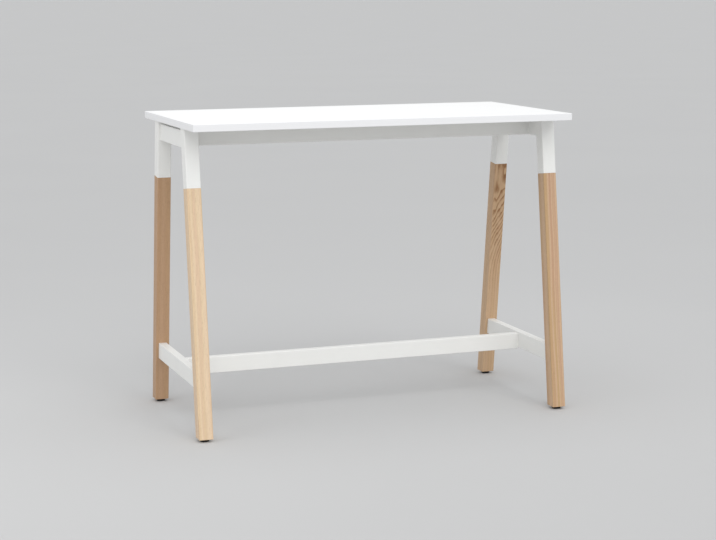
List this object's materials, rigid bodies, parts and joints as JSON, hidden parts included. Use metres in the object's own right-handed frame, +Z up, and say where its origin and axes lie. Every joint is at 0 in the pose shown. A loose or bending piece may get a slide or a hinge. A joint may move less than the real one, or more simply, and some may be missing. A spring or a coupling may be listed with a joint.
{
  "type": "high table",
  "caption": "Standing-height table: white board top, splayed ash legs in white steel sockets, steel tube frame with an H-shaped foot rest, and levelling feet.",
  "frame": {"origin": "on the floor under the middle of the tabletop", "axes": "+X along the table's length to its right end, -Y to its front, +Z up"},
  "size_m": [1.4, 0.7, 1.09],
  "materials": {
    "white_board": "matt white melamine",
    "white_edge": "satin",
    "white_steel": "white powder coat",
    "ash": "matt lacquered ash",
    "bare_steel": "bare steel",
    "zinc_steel": "zinc plated",
    "black_plastic": "moulded black"
  },
  "bodies": {
    "frame": {"tabletop_board": "white_board", "edge_band_front": "white_edge", "edge_band_back": "white_edge", "edge_band_left": "white_edge", "edge_band_right": "white_edge", "leg_socket_front_left": "white_steel", "leg_socket_front_right": "white_steel", "leg_socket_back_left": "white_steel", "leg_socket_back_right": "white_steel", "head_crossbar_left": "white_steel", "head_crossbar_right": "white_steel", "head_rail_front": "white_steel", "head_rail_back": "white_steel", "foot_crossbar_left": "white_steel", "foot_crossbar_right": "white_steel", "foot_rail": "white_steel", "leg_screws": "white_steel", "leg_front_left": "ash", "leg_front_right": "ash", "leg_back_left": "ash", "leg_back_right": "ash", "head_stub_front_left": "bare_steel", "head_stub_back_left": "bare_steel", "head_stub_front_right": "bare_steel", "head_stub_back_right": "bare_steel", "foot_stub_left": "bare_steel", "foot_stub_right": "bare_steel", "leg_stub_front_left": "bare_steel", "leg_stub_front_right": "bare_steel", "leg_stub_back_left": "bare_steel", "leg_stub_back_right": "bare_steel", "head_rail_screws": "zinc_steel", "foot_rail_screws": "zinc_steel", "foot_crossbar_screws": "zinc_steel", "leg_stub_screws": "zinc_steel", "top_screws": "zinc_steel", "top_inserts": "zinc_steel", "foot_insert_front_left": "zinc_steel", "foot_insert_front_right": "zinc_steel", "foot_insert_back_left": "zinc_steel", "foot_insert_back_right": "zinc_steel", "top_spacers": "black_plastic"},
    "pad_front_left": {"foot_pad_front_left": "black_plastic"},
    "stud_front_left": {"foot_stud_front_left": "zinc_steel"},
    "pad_front_right": {"foot_pad_front_right": "black_plastic"},
    "stud_front_right": {"foot_stud_front_right": "zinc_steel"},
    "pad_back_left": {"foot_pad_back_left": "black_plastic"},
    "stud_back_left": {"foot_stud_back_left": "zinc_steel"},
    "pad_back_right": {"foot_pad_back_right": "black_plastic"},
    "stud_back_right": {"foot_stud_back_right": "zinc_steel"}
  },
  "joints": [
    {"name": "level_front_left", "type": "slide", "parent": "frame", "child": "pad_front_left", "axis": [0, 0, -1], "range_m": [0, 0.012]},
    {"name": "screw_front_left", "type": "hinge", "parent": "pad_front_left", "child": "stud_front_left", "pos_m": [-0.671, -0.31874, 0], "axis": [0, 0, -1], "range_deg": [0, 3456]},
    {"name": "level_front_right", "type": "slide", "parent": "frame", "child": "pad_front_right", "axis": [0, 0, -1], "range_m": [0, 0.012]},
    {"name": "screw_front_right", "type": "hinge", "parent": "pad_front_right", "child": "stud_front_right", "pos_m": [0.671, -0.31874, 0], "axis": [0, 0, -1], "range_deg": [0, 3456]},
    {"name": "level_back_left", "type": "slide", "parent": "frame", "child": "pad_back_left", "axis": [0, 0, -1], "range_m": [0, 0.012]},
    {"name": "screw_back_left", "type": "hinge", "parent": "pad_back_left", "child": "stud_back_left", "pos_m": [-0.671, 0.31874, 0], "axis": [0, 0, -1], "range_deg": [0, 3456]},
    {"name": "level_back_right", "type": "slide", "parent": "frame", "child": "pad_back_right", "axis": [0, 0, -1], "range_m": [0, 0.012]},
    {"name": "screw_back_right", "type": "hinge", "parent": "pad_back_right", "child": "stud_back_right", "pos_m": [0.671, 0.31874, 0], "axis": [0, 0, -1], "range_deg": [0, 3456]}
  ],
  "couplings": [
    {"joint": "level_front_left", "follows": "screw_front_left", "m_per_rad": 0.00019894},
    {"joint": "level_front_right", "follows": "screw_front_right", "m_per_rad": 0.00019894},
    {"joint": "level_back_left", "follows": "screw_back_left", "m_per_rad": 0.00019894},
    {"joint": "level_back_right", "follows": "screw_back_right", "m_per_rad": 0.00019894}
  ]
}
